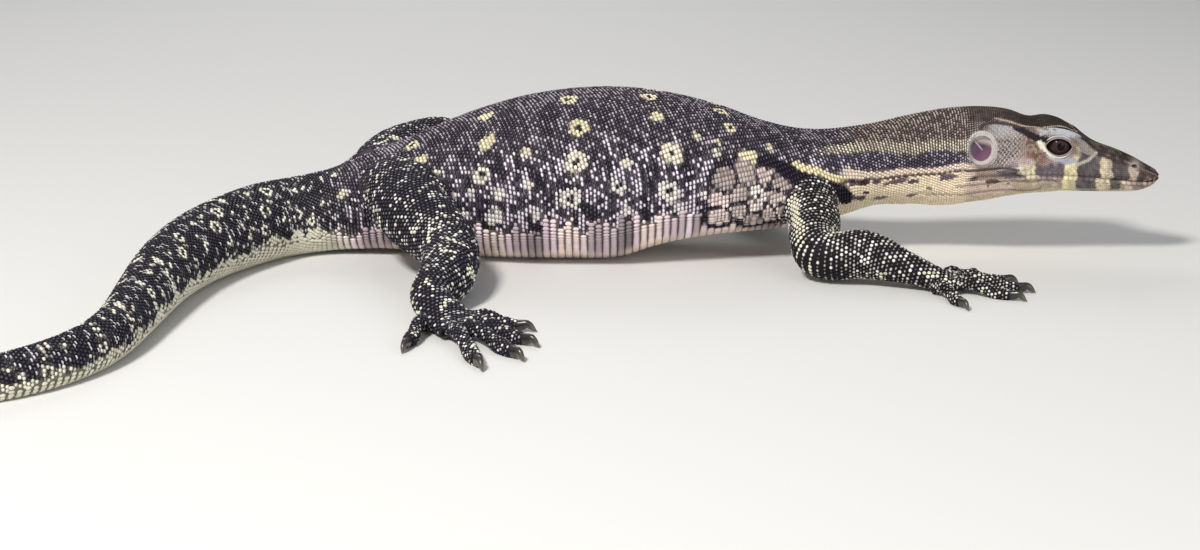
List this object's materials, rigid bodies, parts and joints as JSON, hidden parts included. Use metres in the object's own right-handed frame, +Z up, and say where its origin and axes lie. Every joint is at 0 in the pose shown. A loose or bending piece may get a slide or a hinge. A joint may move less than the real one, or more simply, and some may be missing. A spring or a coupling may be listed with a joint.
{
  "type": "water monitor lizard",
  "caption": "Life-size young water monitor lizard lying still on its belly, with a long curved tail, spread clawed feet and a lifted head.",
  "frame": {"origin": "on the floor, in the flat that the middle of the belly rests on", "axes": "+X towards the snout, +Y to the animal's left, +Z up, away from the floor"},
  "size_m": [0.6477, 0.3269, 0.0644],
  "materials": {
    "head_skin": "small pale and dark scales, dry and slightly glossy",
    "body_skin": "black with rows of small pale dots and yellow rings, slightly glossy",
    "claw": "dark smooth horn",
    "eye": "wet and glossy, dark red-brown iris with a round black pupil",
    "eardrum": "thin smooth skin, purple-grey"
  },
  "bodies": {
    "root": {"claw_foot_left_1": "claw", "claw_foot_left_2": "claw", "claw_foot_left_3": "claw", "claw_foot_left_4": "claw", "claw_foot_left_5": "claw", "claw_foot_right_1": "claw", "claw_foot_right_2": "claw", "claw_foot_right_3": "claw", "claw_foot_right_4": "claw", "claw_foot_right_5": "claw", "claw_hand_left_1": "claw", "claw_hand_left_2": "claw", "claw_hand_left_3": "claw", "claw_hand_left_4": "claw", "claw_hand_left_5": "claw", "claw_hand_right_1": "claw", "claw_hand_right_2": "claw", "claw_hand_right_3": "claw", "claw_hand_right_4": "claw", "claw_hand_right_5": "claw", "eardrum_left": "eardrum", "eardrum_right": "eardrum", "eye_left": "eye", "eye_right": "eye", "foot_left": "body_skin", "foot_right": "body_skin", "forearm_left": "body_skin", "forearm_right": "body_skin", "hand_left": "body_skin", "hand_right": "body_skin", "head": "head_skin", "neck": "head_skin", "shank_left": "body_skin", "shank_right": "body_skin", "tail_1": "body_skin", "tail_2": "body_skin", "tail_3": "body_skin", "tail_4": "body_skin", "tail_5": "body_skin", "tail_6": "body_skin", "tail_7": "body_skin", "tail_8": "body_skin", "thigh_left": "body_skin", "thigh_right": "body_skin", "torso": "body_skin", "upper_arm_left": "body_skin", "upper_arm_right": "body_skin"}
  },
  "joints": []
}
